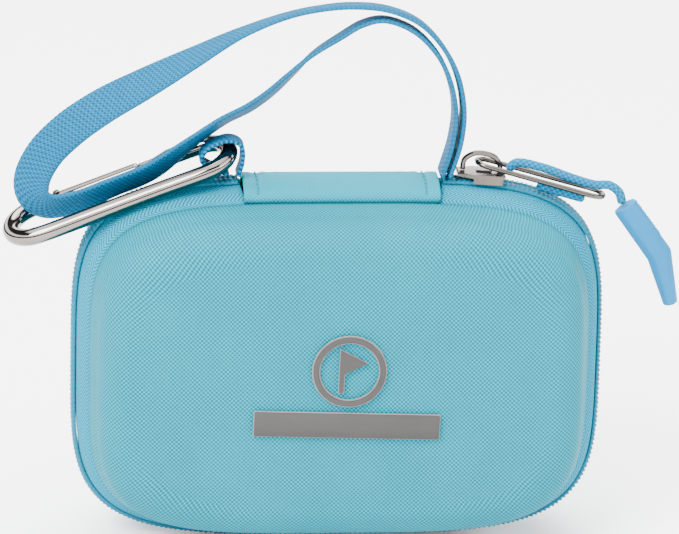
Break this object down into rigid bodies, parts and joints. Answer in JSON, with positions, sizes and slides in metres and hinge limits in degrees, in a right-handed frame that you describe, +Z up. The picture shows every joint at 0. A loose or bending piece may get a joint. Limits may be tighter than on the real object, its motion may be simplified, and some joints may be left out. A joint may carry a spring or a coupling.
{
  "type": "hard carrying case",
  "caption": "Zip-round moulded fabric carrying case for a pocket launch monitor, with a hinged lid, a webbing wrist strap, a wire carabiner and a corded zip puller.",
  "frame": {"origin": "on the surface the case stands on, below the middle of its bounding box", "axes": "+X to the right seen from the badge side, +Y to the back, +Z up; the zip runs round the plane y = 0"},
  "size_m": [0.1803, 0.0573, 0.1487],
  "materials": {
    "shell": "woven polyester on moulded foam",
    "lining": "brushed knit",
    "tape": "herringbone zip tape",
    "coil": "nylon coil",
    "spine": "woven polyester",
    "webbing": "ribbed webbing",
    "chrome": "polished plate",
    "steel": "nickel plate",
    "grip": "moulded soft grip and braided cord",
    "badge": "raised moulded print",
    "thread": "sewing thread"
  },
  "bodies": {
    "back_half": {"back_shell": "shell", "back_lining": "lining", "back_zip_tape": "tape", "back_zip_coil": "coil", "spine_band": "spine", "spine_lining": "lining", "wrist_strap": "webbing", "carabiner_keeper": "webbing", "elastic_band": "lining", "tack_left": "thread", "tack_right": "thread"},
    "lid": {"front_shell": "shell", "front_lining": "lining", "front_zip_tape": "tape", "front_zip_coil": "coil", "badge_ring": "badge", "badge_flag": "badge", "badge_bar": "badge", "mesh_pocket": "lining", "pocket_hem": "lining"},
    "carabiner": {"carabiner_frame": "chrome", "gate_pin": "steel"},
    "gate": {"carabiner_gate": "chrome"},
    "slider": {"slider_body": "steel", "slider_bridge": "steel", "slider_lock": "steel"},
    "pull": {"pull_wire": "steel", "pull_cord": "grip", "pull_cord_lower": "grip"},
    "grip": {"pull_grip": "grip"}
  },
  "joints": [
    {"name": "lid_hinge", "type": "hinge", "parent": "back_half", "child": "lid", "pos_m": [0, -0.0095, 0.0962], "axis": [-1, 0, 0], "range_deg": [0, 95]},
    {"name": "carabiner_swing", "type": "hinge", "parent": "back_half", "child": "carabiner", "pos_m": [-0.0296, 0.0009, 0.1076], "axis": [0, 1, 0], "range_deg": [0, 30], "deforming": ["wrist_strap", "carabiner_keeper"]},
    {"name": "gate_open", "type": "hinge", "parent": "carabiner", "child": "gate", "pos_m": [-0.07425, 0.00846, 0.09191], "axis": [0.3541, 0.1908, -0.9155], "range_deg": [0, 12], "stiffness_Nm_per_rad": 0.02, "springref_deg": -11.46},
    {"name": "slider_slide", "type": "slide", "parent": "back_half", "child": "slider", "axis": [1, 0, 0], "range_m": [0, 0.004]},
    {"name": "pull_swing", "type": "hinge", "parent": "slider", "child": "pull", "pos_m": [0.0374, 0, 0.1045], "axis": [0, -1, 0], "range_deg": [0, 100]},
    {"name": "grip_swing", "type": "hinge", "parent": "pull", "child": "grip", "pos_m": [0.0735, -0.004, 0.0975], "axis": [0, -1, 0], "range_deg": [-10, 60], "deforming": ["pull_cord"]}
  ]
}
